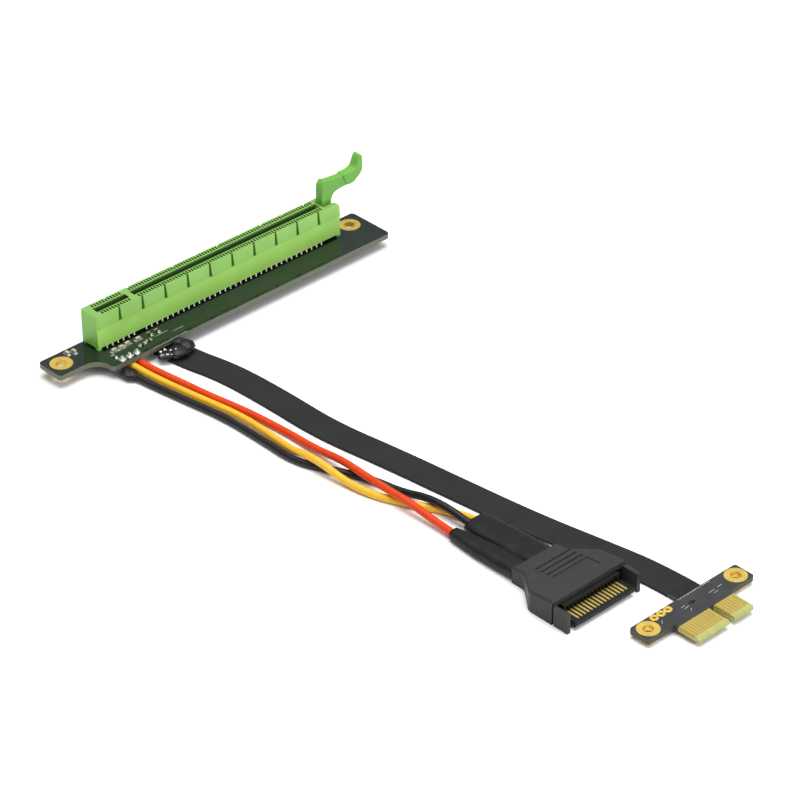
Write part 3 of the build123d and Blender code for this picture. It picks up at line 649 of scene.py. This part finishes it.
CABLE_POINTS = [
    (10, -8.6, -0.9), (10, -6.2, -0.9), (10, -3.0, CABLE_LOW), (10, 3.4, CABLE_LOW),
    (10, 6.4, level(2)), (10, 10.2, level(2)), (10, HANK_Y, level(2)), (10, HANK_Y, level(3)),
    (8.8, HANK_Y, level(3)), (-10, HANK_Y, level(3)), *turn_back(-30.8, 0.9, 3, 4),
    (-8, HANK_Y, level(4)), (15.6, HANK_Y, level(4)), (22.4, HANK_Y, level(2)),
    (36, HANK_Y, level(2)), *turn_back(49.1, -0.9, 2, 3),
    (35, HANK_Y, level(3)), (22.9, HANK_Y, level(3)), (16.1, HANK_Y, level(5)),
    (-9, HANK_Y, level(5)), *turn_back(-31.4, 0.9, 5, 6),
    (-7, HANK_Y, level(6)), (16.6, HANK_Y, level(6)), (23.4, HANK_Y, level(4)),
    (36, HANK_Y, level(4)), (46.2, HANK_Y, level(4)), (48.4, HANK_Y, level(4) - 0.1),
    (48.65, HANK_Y, (level(4) + level(1)) / 2), (48.4, HANK_Y, level(1) + 0.1),
    (46.2, HANK_Y, level(1)), (20, HANK_Y, level(1)), (-6, HANK_Y, level(1)),
    (-15.4, HANK_Y, level(1)), (-19.0, HANK_Y, level(2)), (-23.3, HANK_Y, level(2)),
    (-24.5, HANK_Y, level(2)), (-24.5, HANK_Y, level(1)), (-24.5, HANK_Y - 1.2, level(1)),
    (-24.5, -4.5, CABLE_LOW), (-23.9, -17.5, CABLE_LOW), (-20.4, -32.0, CABLE_LOW),
    (-19.5, -52.0, CABLE_LOW), (-19.7, -73.0, CABLE_LOW), (-16.0, -96.0, CABLE_LOW),
    (-13.2, -119.0, CABLE_LOW), (-10.0, -144.0, CABLE_LOW), (-5.4, -167.0, CABLE_LOW),
    (-2.6, -183.0, CABLE_LOW), (-2.4, -200.0, CABLE_LOW),
]


def nearest(points, x, y):
    """The place in a line of the point nearest to one seen from above."""
    return min(range(len(points)), key=lambda i: (points[i].xy - Vector((x, y)) * MM).length)


def across(points, i, entry, exit_at):
    """The vector from the ribbon's middle to its edge, along the crease at a fold."""
    point = points[i] / MM
    along = points[min(len(points) - 1, i + 1)] - points[max(0, i - 1)]
    outside = i < entry - FOLD_REACH or i > exit_at + FOLD_REACH
    if outside or point.y < HANK_Y - CABLE_HALF:
        side = Vector((along.x, along.y, 0)).cross(Vector((0, 0, 1))).normalized()
        return side * CABLE_HALF
    to_entry = min(CABLE_HALF, (point.xy - Vector(ENTRY_FOLD)).length)
    to_exit = min(CABLE_HALF, (point.xy - Vector(EXIT_FOLD)).length)
    if i <= entry:
        return Vector((CABLE_HALF, to_entry - CABLE_HALF, 0))
    if i < entry + FOLD_INSIDE and to_entry < CABLE_HALF:
        return Vector((CABLE_HALF - to_entry, -CABLE_HALF, 0))
    if i >= exit_at:
        return Vector((-CABLE_HALF, to_exit - CABLE_HALF, 0))
    if i > exit_at - FOLD_INSIDE and to_exit < CABLE_HALF:
        return Vector((to_exit - CABLE_HALF, -CABLE_HALF, 0))
    return Vector((0, -CABLE_HALF, 0))


def ribbon_section(middle, side, normal, thickness):
    """A flat section with rounded edges and faint ribs over the conductors."""
    ring = []
    for sign in (1, -1):
        edge = normal * sign * thickness * EDGE_THICKNESS
        ring.append(middle + side * sign)
        ring.append(middle + side * sign * EDGE_START + edge)
        for k in range(2 * RIBS + 1):
            t = RIBS_HALF * (1 - k / RIBS)
            lift = 1.0 if k % 2 else RIB_VALLEY
            ring.append(middle + side * sign * t + normal * sign * thickness * lift)
        ring.append(middle - side * sign * EDGE_START + edge)
    return metres(on_ground(p) for p in ring)


def make_flat_cable():
    """The ribbon, lofted along its spline, and the line that it follows."""
    guide = spline_curve("flat_cable_guide", CABLE_POINTS)
    line = line_of(guide)
    bpy.data.objects.remove(guide)
    entry = nearest(line[:len(line) // 4], *ENTRY_FOLD)
    late = len(line) // 2
    exit_at = late + nearest(line[late:], *EXIT_FOLD)
    sections = []
    normal = Vector((0, 0, 1))
    for i, point in enumerate(line):
        side = across(line, i, entry, exit_at)
        along = line[min(len(line) - 1, i + 1)] - line[max(0, i - 1)]
        turned = side.cross(along)
        if turned.length > 1e-9:
            normal = turned.normalized()
        middle = point / MM
        crease = CREASE_SWELL * exp(-((middle.y - CREASE_Y) / CREASE_SPREAD) ** 2)
        sections.append(ribbon_section(middle, side, normal, CABLE_HALF_THICKNESS * (1 + crease)))
    cable = mesh_piece("flat_cable_ribbon", *loft(sections), jacket)
    cable.data.materials.append(jacket_end_shaded)
    # The faces past the crease take the glossy jacket with its painted shade.
    for polygon in cable.data.polygons:
        if polygon.center.y < CREASE_Y * MM:
            polygon.material_index = 1
    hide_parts("flat_cable", "flat_cable_lead", "flat_cable_hank")
    return cable, line


STRAP_CORNER = 0.7
STRAP_THICKNESS = 0.45
STRAP_EDGE = (0.15, 0.12)  # what its edges lose, along the hank and down to it


def make_tie():
    """A woven strap with round corners, drawn tight round the folded layers."""
    low, high = millimetres(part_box("hank_tie"))
    front, back = low.y + STRAP_CORNER, high.y - STRAP_CORNER
    bottom, top = low.z + STRAP_CORNER, high.z - STRAP_CORNER
    outline = []
    for y, z, start in ((back, top, 0), (front, top, 90), (front, bottom, 180),
                        (back, bottom, 270)):
        for k in range(6):
            a = radians(start + 18 * k)
            outline.append((y, z, cos(a), sin(a)))
    along, down = STRAP_EDGE
    sections = []
    for x, depth in ((low.x, down), (low.x + along, 0.0), (high.x - along, 0.0),
                     (high.x, down), (high.x, STRAP_THICKNESS), (low.x, STRAP_THICKNESS)):
        r = STRAP_CORNER - depth
        sections.append(metres((x, y + c * r, z + s * r) for y, z, c, s in outline))
    sections.append(sections[0])
    strap = mesh_piece("tie_strap", *loft(sections, capped=False), strap_black)
    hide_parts("hank_tie")
    return strap


# Sleeves: shrunk tubing over the wires, round at its open end and flattened at the plug

SLEEVE_OPEN_Y = -134.0
SLEEVE_PLUG_Y = -158.6
SLEEVE_STEPS = 26
SLEEVE_SIDES = 36
SLEEVE_RIPPLE = 0.05
SLEEVE_BOXY = (0.72, 0.8)      # less than 1 squares the section, across and upright
SLEEVE_SPREAD = (3.4, 2.2)     # how soon it reaches its size at the plug, across and upright
SLEEVE_LIFT = 0.02
MOUTH_SHRINKS = (0.62, 0.86)   # rings inside the open end, which show the tube's wall
MOUTH_DEPTH = 0.35


def sleeve_section(x, y, z, half_width, half_height):
    """A rounded section with an uneven skin, flat where it lies on the ground."""
    ring = []
    for j in range(SLEEVE_SIDES):
        a = 2 * pi * j / SLEEVE_SIDES
        c, s = cos(a), sin(a)
        px = half_width * abs(c) ** SLEEVE_BOXY[0] * (1 if c >= 0 else -1)
        pz = half_height * abs(s) ** SLEEVE_BOXY[1] * (1 if s >= 0 else -1)
        swell = 1 + SLEEVE_RIPPLE * noise.noise(Vector((px * 0.6, y * 0.22, pz * 0.6)))
        ring.append(on_ground(Vector((x + px * swell, y, z + pz * swell))))
    return metres(ring)


def between(ends, t):
    """The value a share of the way from the first to the second."""
    return ends[0] + (ends[1] - ends[0]) * t


def make_sleeve(name, node, x, half_width, half_height, dip):
    """A tube from its open end to the plug; each pair of values is for those two ends.

    dip is the share of its height that the tube loses halfway.
    """
    sections = []
    stations = [(0, shrink) for shrink in MOUTH_SHRINKS]
    stations += [(i / SLEEVE_STEPS, 1.0) for i in range(SLEEVE_STEPS + 1)]
    for t, shrink in stations:
        width = between(half_width, 1 - (1 - t) ** SLEEVE_SPREAD[0])
        height = between(half_height, 1 - (1 - t) ** SLEEVE_SPREAD[1])
        height *= 1 - dip * sin(pi * t)
        y = between((SLEEVE_OPEN_Y, SLEEVE_PLUG_Y), t)
        if shrink < 1:
            y -= MOUTH_DEPTH
        z = GROUND + height + SLEEVE_LIFT
        sections.append(sleeve_section(between(x, t), y, z, width * shrink, height * shrink))
    sleeve = mesh_piece(name, *loft(sections), sleeve_black)
    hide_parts(node)
    return sleeve


# The plug's blades

BLADE_COUNT = 15
BLADE_PITCH = 1.27
BLADE_MARGIN = 0.42
BLADE_HALF = 0.3
BLADE_TIP_HALF = 0.17
BLADE_TIP_LENGTH = 0.45
BLADE_RIM = 0.85          # the top's width, as a share of the blade's


def make_blades():
    """The plug's blades, with rounded rims and narrower tips."""
    low, high = millimetres(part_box("plug_contacts"))
    tip = low.y - BLADE_TIP_LENGTH
    outline = [(-BLADE_TIP_HALF, tip), (BLADE_TIP_HALF, tip), (BLADE_HALF, low.y),
               (BLADE_HALF, high.y), (-BLADE_HALF, high.y), (-BLADE_HALF, low.y)]
    blades = []
    for i in range(BLADE_COUNT):
        x = low.x + BLADE_MARGIN + BLADE_PITCH * i
        rims = ((1.0, low.z - 0.02), (1.0, high.z - 0.05), (BLADE_RIM, high.z))
        blades.append(loft([metres((x + dx * share, y, z) for dx, y in outline)
                            for share, z in rims]))
    row = mesh_piece("plug_blades", *joined(blades), blade_gold, smooth=False)
    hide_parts("plug_contacts")
    return row


# Solder and small parts on the long board

POWER_PAD_Y = -10.4
POWER_STUB_Y = -10.75
POWER_MOUND = {"radius": 1.12, "height": 0.95, "tip": 0.42, "wobble": 0.10}
POWER_ROOT = {"radius": 0.8, "height": 0.75, "tip": 0.30, "wobble": 0.10, "down": True}
POWER_STUB = {"radius": 0.55, "height": 1.7, "wobble": 0.05, "down": True}
TAIL_CONE = {"radius": 0.42, "height": 0.6, "tip": 0.16, "sides": 10, "rings": 4, "down": True}
FOOT_MOUND = {"radius": 0.28, "height": 0.16, "sides": 10, "rings": 3}
FOOT_DEPTH_HALF, FOOT_HEIGHT = 0.1, 0.7
PANEL_GROOVES = 10
GROOVE_FLOOR = (2.84, 2.96)    # the floors' two faces, from the slot's middle plane
GROOVE_HALF = 0.75
CONTACT_HALF = 0.17
SHORT_ROW, LONG_ROW = 11, 71   # contacts on both sides of the key, at 1 mm
KEY_STEP = 3.55                # between the two contacts beside the key
TAIL_ROWS = (2.65, 1.8)        # the staggered tails, from the slot's middle plane
FOOT_OFFSET = 3.68             # the feet beside the housing, from the same plane
CHIP_END_AT = 0.66             # a soldered end's middle, from its chip's
CHIP_PAD_AT = 1.35 * CHIP_END_AT
CHIP_END_HALVES = (0.19, 0.43)
CHIP_PAD_HALVES = (0.42, 0.5)
CHIP_PAD_HEIGHT = 0.08
CAPACITOR_HEIGHT, RESISTOR_HEIGHT = 0.84, 0.49
CAPACITORS = [(-51.2, 2.6, True), (-49.2, 2.0, True), (-40.6, -5.4, False),
              (-38.2, -5.6, False), (-35.6, -5.2, False), (-31.8, -5.4, False)]
RESISTORS = [(-42.4, -8.0, True), (-32.6, -8.4, False), (-30.0, -8.0, False),
             (-27.4, -5.6, True), (-24.8, -5.8, True)]


def make_power_joints():
    """A bright hollow-sided mound over each wire's end, and its joint and stub underneath."""
    parts = []
    for _, points in WIRES.values():
        x = points[0][0]
        parts.append(dome(x, POWER_PAD_Y, BOARD_TOP, **POWER_MOUND))
        parts.append(dome(x, POWER_PAD_Y, 0.0, **POWER_ROOT))
        parts.append(dome(x, POWER_STUB_Y, -0.1, **POWER_STUB))
    joints = mesh_piece("power_joints", *joined(parts), solder)
    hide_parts("power_solder_joints")


def make_tail_joints():
    """Solder cones under the board, and the bright feet that show beside the housing."""
    under, beside = [], []
    row_start = millimetres(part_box("front_contacts"))[0].x
    first = row_start + CONTACT_HALF
    second = first + SHORT_ROW - 1 + KEY_STEP
    places = [first + i for i in range(SHORT_ROW)] + [second + i for i in range(LONG_ROW)]
    for i, x in enumerate(places):
        for side in (-1, 1):
            under.append(dome(x, SLOT_Y + side * TAIL_ROWS[i % 2], 0.0, **TAIL_CONE))
            if i % 2 == 0:
                y = SLOT_Y + side * FOOT_OFFSET
                beside.append(block(x - CONTACT_HALF, x + CONTACT_HALF, y - FOOT_DEPTH_HALF,
                                    y + FOOT_DEPTH_HALF, BOARD_TOP, BOARD_TOP + FOOT_HEIGHT))
                beside.append(dome(x, y, BOARD_TOP, **FOOT_MOUND))
    tails = mesh_piece("tail_joints", *joined(under), solder)
    feet = mesh_piece("contact_feet", *joined(beside), tinned)


def make_groove_shade():
    """Painted shade: dark blocks at the floors of the wedge grooves between the housing's panels,
    for the shade down in the grooves.
    """
    pitch = (slot_high.x - slot_low.x) / (PANEL_GROOVES + 1)
    floors = []
    for i in range(PANEL_GROOVES):
        x = slot_low.x + pitch * (i + 1)
        for side in (-1, 1):
            y0, y1 = sorted(SLOT_Y + side * face for face in GROOVE_FLOOR)
            floors.append(block(x - GROOVE_HALF, x + GROOVE_HALF, y0, y1, PANEL_FOOT - 0.05,
                                SLOT_TOP - 0.35))
    shade_strips = mesh_piece("groove_shade_blocks", *joined(floors), groove_shade_green, smooth=False)


def beside_chip(x, y, turned, offset, halves, height):
    """A block off the middle of a chip part, along X or, where the part is turned, along Y."""
    if turned:
        return block(x - halves[1], x + halves[1], y + offset - halves[0], y + offset + halves[0],
                     BOARD_TOP, BOARD_TOP + height)
    return block(x + offset - halves[0], x + offset + halves[0], y - halves[1], y + halves[1],
                 BOARD_TOP, BOARD_TOP + height)


def make_chip_ends():
    """Soldered ends over the chip parts, and their pads."""
    caps, pads = [], []
    for places, height in ((CAPACITORS, CAPACITOR_HEIGHT), (RESISTORS, RESISTOR_HEIGHT)):
        for chip in places:
            for side in (-1, 1):
                caps.append(beside_chip(*chip, side * CHIP_END_AT, CHIP_END_HALVES, height))
                pads.append(beside_chip(*chip, side * CHIP_PAD_AT, CHIP_PAD_HALVES,
                                        CHIP_PAD_HEIGHT))
    ends = mesh_piece("chip_ends", *joined(caps), solder, smooth=False)
    soften(ends, 0.05)
    lands = mesh_piece("chip_lands", *joined(pads), solder, smooth=False)
    soften(lands, 0.03)


# Printed lines, as their two ends: beside a capacitor that is turned or not, on the long board,
# and on the edge card
CHIP_MARK_WIDTH, BOARD_LINE_WIDTH, CARD_LINE_WIDTH = 0.1, 0.09, 0.12
CHIP_MARKS = {False: (-1.45, -0.75, 1.45, -0.75), True: (-0.75, -1.45, -0.75, 1.45)}
BOARD_LINES = [(-31.8, -12.3, -18.8, -11.7), (-27.3, -7.6, -22.4, -7.5),
               (-21.5, -8.9, -17.6, -8.8)]
CARD_LINES = [
    (-10.6, -198.9, -9.2, -198.8), (-10.2, -199.8, -8.6, -199.6), (-0.6, -199.4, 1.4, -199.3),
    (0.2, -200.4, 1.8, -200.3), (2.8, -199.2, 4.4, -199.1), (-18.9, -200.0, -18.1, -199.2),
    (-9.6, -201.4, -8.9, -200.8),
]


def make_silk():
    """Plain printed lines, with no lettering."""
    lines = []
    for x, y, turned in CAPACITORS:
        x0, y0, x1, y1 = CHIP_MARKS[turned]
        lines.append(strip(x + x0, y + y0, x + x1, y + y1, CHIP_MARK_WIDTH, BOARD_TOP))
    lines += [strip(*ends, BOARD_LINE_WIDTH, BOARD_TOP) for ends in BOARD_LINES]
    lines += [strip(*ends, CARD_LINE_WIDTH, CARD_TOP) for ends in CARD_LINES]
    prints = mesh_piece("printed_lines", *joined(lines), silk, smooth=False)


# Glue: lumps by their middle and three radii, and flecks of solder by their middle and size

GLUE_LOW = -2.05
LUMP_UNEVEN, FLECK_UNEVEN = 0.16, 0.7
FLECK_SHAPE = Vector((1.0, 0.8, 0.6))
GLUE_LUMPS = [
    (-28.6, -14.4, -0.8, 2.8, 2.2, 1.3), (-25.2, -15.5, -0.6, 3.8, 3.0, 1.5),
    (-22.4, -15.0, -0.4, 2.9, 2.9, 1.6), (-23.4, -13.6, 0.5, 2.2, 1.7, 1.4),
    (-6.8, -199.0, -0.25, 1.0, 0.5, 0.3), (-42.3, -14.2, -1.3, 2.3, 3.1, 1.5),
]
GLUE_FLECKS = [
    (-30.4, -14.6, -0.15, 0.55), (-29.4, -15.6, 0.0, 0.5), (-28.8, -14.0, 0.75, 0.5),
    (-27.7, -15.2, 0.75, 0.4), (-29.9, -13.4, 0.2, 0.45), (-28.2, -16.1, -0.1, 0.4),
    (-26.4, -15.9, 0.95, 0.28),
]


def make_glue():
    """Dark lumps where the cable and a wire pass under the board, and a drop on the edge card."""
    lumps = [blob(*values, LUMP_UNEVEN, GLUE_LOW) for values in GLUE_LUMPS]
    lump = mesh_piece("glue_lump", *joined(lumps), glue)
    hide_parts("cable_glue")
    specks = [blob(x, y, z, *(FLECK_SHAPE * r), FLECK_UNEVEN, GLUE_LOW)
              for x, y, z, r in GLUE_FLECKS]
    mesh_piece("glue_flecks", *joined(specks), solder)


# The edge card's small joints

HEADER_PLACES = (-18.6, -16.06, -13.52)
HEADER_Y = -196.85
HEADER_BORE, HEADER_PAD = 0.5, 1.25
PLATING = 0.06
CARD_JOINTS = 17
CARD_JOINT = {"radius": 0.18, "height": 0.14, "sides": 10, "rings": 3}
CARD_JOINT_START, CARD_JOINT_STEP = -8.6, 0.72
CARD_JOINT_Y = -196.0


def make_card_joints():
    """The header's plated pads, and the small joints along the card's back edge."""
    rings = ((HEADER_PAD, CARD_TOP, CARD_TOP + PLATING),
             (HEADER_PAD, CARD_BOTTOM - PLATING, CARD_BOTTOM),
             (HEADER_BORE + PLATING, CARD_BOTTOM, CARD_TOP))
    pads = [ring_pad(x, HEADER_Y, HEADER_BORE, outer, low, high)
            for x in HEADER_PLACES for outer, low, high in rings]
    header = mesh_piece("header_pads", *joined(pads), gold, smooth=False)
    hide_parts("header_plating")
    dots = [dome(CARD_JOINT_START + CARD_JOINT_STEP * i, CARD_JOINT_Y, CARD_TOP, **CARD_JOINT)
            for i in range(CARD_JOINTS)]
    joints = mesh_piece("card_joints", *joined(dots), solder)
    return header, joints


# The latch: flat shapes in X and Z, each with a thickness in Y

LATCH_HUB = (46.6, 5.0)
HUB_RADIUS, PIN_RADIUS = 1.7, 0.9
WEB_HALF, GRIP_HALF, HUB_HALF, PIN_HALF = 1.2, 1.5, 1.8, 3.1  # half thicknesses
WEB_INSET = 0.16          # keeps the thin web inside the heel's and the finger's outlines
WEB_ROUNDING, GRIP_ROUNDING, HUB_ROUNDING = 0.15, 0.14, 0.1
LATCH_OUTLINE = [
    (44.9, 5.0), (45.4, 3.8), (46.6, 3.3), (47.8, 3.8), (48.3, 5.0), (48.4, 11.6),
    (48.5, 13.65), (49.6, 15.3), (52.2, 15.75), (55.2, 15.75), (57.6, 16.15), (59.6, 17.6),
    (60.9, 18.9), (60.95, 21.6), (60.8, 24.15), (59.95, 24.1), (59.2, 23.0), (58.3, 20.7),
    (56.4, 19.95), (54.6, 19.9), (51.6, 20.0), (48.2, 20.3), (45.9, 20.7), (44.5, 19.2),
    (44.4, 16.5), (44.4, 13.05), (44.9, 11.65),
]
LATCH_HEEL = [(44.4, 13.05), (44.9, 11.8), (46.0, 11.8), (46.1, 16.0), (46.3, 20.55),
              (45.9, 20.7), (44.5, 19.2)]
LATCH_FINGER = [
    (53.1, 20.0), (53.7, 17.9), (55.2, 15.8), (57.6, 16.15), (59.6, 17.6), (60.9, 18.9),
    (60.95, 21.6), (60.8, 24.15), (59.95, 24.1), (59.2, 23.0), (58.3, 20.7), (56.4, 19.95),
    (54.6, 19.9),
]


def smoothed(outline):
    """A closed outline with its corners cut round."""
    for _ in range(2):
        cut = []
        for i, (x, z) in enumerate(outline):
            nx, nz = outline[(i + 1) % len(outline)]
            cut.append((x * 0.8 + nx * 0.2, z * 0.8 + nz * 0.2))
            cut.append((x * 0.2 + nx * 0.8, z * 0.2 + nz * 0.8))
        outline = cut
    return outline


def shrunk(outline, inset):
    """A closed outline, given with its inside on the left, moved inward."""
    moved = []
    for i, (x, z) in enumerate(outline):
        (ax, az), (bx, bz) = outline[i - 1], outline[(i + 1) % len(outline)]
        outward = Vector((bz - az, ax - bx)).normalized()
        moved.append((x - outward.x * inset, z - outward.y * inset))
    return moved


def disc(radius, sides=28):
    """A circle round the latch's hub."""
    x, z = LATCH_HUB
    turns = [2 * pi * i / sides for i in range(sides)]
    return [(x + radius * cos(a), z + radius * sin(a)) for a in turns]


def slab(outline, half_thickness, rounding):
    """An outline in X and Z made solid on both sides of the slot's middle, with rounded rims."""
    front, back = [], []
    for turn in (90, 60, 30, 0):
        rim = shrunk(outline, rounding * (1 - cos(radians(turn))))
        reach = half_thickness - rounding * (1 - sin(radians(turn)))
        front.append(metres((x, SLOT_Y - reach, z) for x, z in rim))
        back.insert(0, metres((x, SLOT_Y + reach, z) for x, z in rim))
    return loft(front + back)


def make_latch():
    """The lever: a thin web between a thick heel and a thick finger, with its hub and pins."""
    shapes = [
        slab(shrunk(smoothed(LATCH_OUTLINE), WEB_INSET), WEB_HALF, WEB_ROUNDING),
        slab(smoothed(LATCH_HEEL), GRIP_HALF, GRIP_ROUNDING),
        slab(smoothed(LATCH_FINGER), GRIP_HALF, GRIP_ROUNDING),
        slab(disc(HUB_RADIUS), HUB_HALF, HUB_ROUNDING),
        slab(disc(PIN_RADIUS), PIN_HALF, HUB_ROUNDING),
    ]
    lever = mesh_piece("latch_lever", *joined(shapes), latch_green, body="latch")
    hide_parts("slot_latch")


# Floor and soft studio light

FLOOR_HALF = 3.0
FLOOR_DROP = 0.00002      # keeps the floor clear of what lies on it


def make_floor():
    """A plain pale floor just under what the object stands on."""
    z = GROUND * MM - FLOOR_DROP
    half = FLOOR_HALF
    corners = [(-half, -half, z), (half, -half, z), (half, half, z), (-half, half, z)]
    mesh = bpy.data.meshes.new("floor")
    mesh.from_pydata(corners, [], [(0, 1, 2, 3)])
    mesh.materials.append(white_floor)
    floor = bpy.data.objects.new("floor", mesh)
    scene.collection.objects.link(floor)


def area_light(name, place_at, aim_at, size, watts):
    data = bpy.data.lights.new(name, "AREA")
    data.shape = "RECTANGLE"
    data.size, data.size_y = size
    data.energy = watts
    light = bpy.data.objects.new(name, data)
    light.location = place_at
    direction = Vector(aim_at) - Vector(place_at)
    light.rotation_euler = direction.to_track_quat("-Z", "Y").to_euler()
    scene.collection.objects.link(light)


def make_world():
    """A pale room, brightest overhead and dimmer towards the horizon."""
    world = bpy.data.worlds.new("studio")
    world.use_nodes = True
    tree = world.node_tree
    background = tree.nodes["Background"]
    tone = ramp_of(tree, coordinate(tree, "Generated", "Z"), [
        (0.0, (0.30, 0.30, 0.31)), (0.45, (0.30, 0.30, 0.31)), (0.68, (0.55, 0.55, 0.56)),
        (1.0, (1.0, 1.0, 1.0)),
    ])
    tree.links.new(tone, background.inputs["Color"])
    background.inputs["Strength"].default_value = 1.0
    scene.world = world


# The whole scene

aim_camera()
paint_cad_nodes()
wires = make_wires()
flat_cable, cable_line = make_flat_cable()
single_sleeve = make_sleeve("single_sleeve_tube", "single_wire_sleeve", x=(-29.3, -28.7),
                            half_width=(1.8, 3.2), half_height=(1.65, 2.15), dip=0.04)
double_sleeve = make_sleeve("double_sleeve_tube", "double_wire_sleeve", x=(-21.2, -20.9),
                            half_width=(4.35, 5.0), half_height=(1.65, 2.2), dip=0.1)
plug_blades = make_blades()
make_power_joints()
make_tail_joints()
make_groove_shade()
make_chip_ends()
make_silk()
make_glue()
card_pieces = make_card_joints()
make_latch()
strap = make_tie()
metres(CABLE_POINTS[:1])[0]
for wire, start in wires:
    metres([start])[0]
make_floor()
make_world()
area_light("overhead", (0.05, -0.05, 1.3), (0.0, -0.08, 0.0), (1.1, 1.1), 17)
area_light("front", (0.25, -1.2, 0.75), (0.0, -0.05, 0.0), (0.9, 0.6), 6)
scene.view_settings.view_transform = "Standard"
scene.view_settings.look = "None"
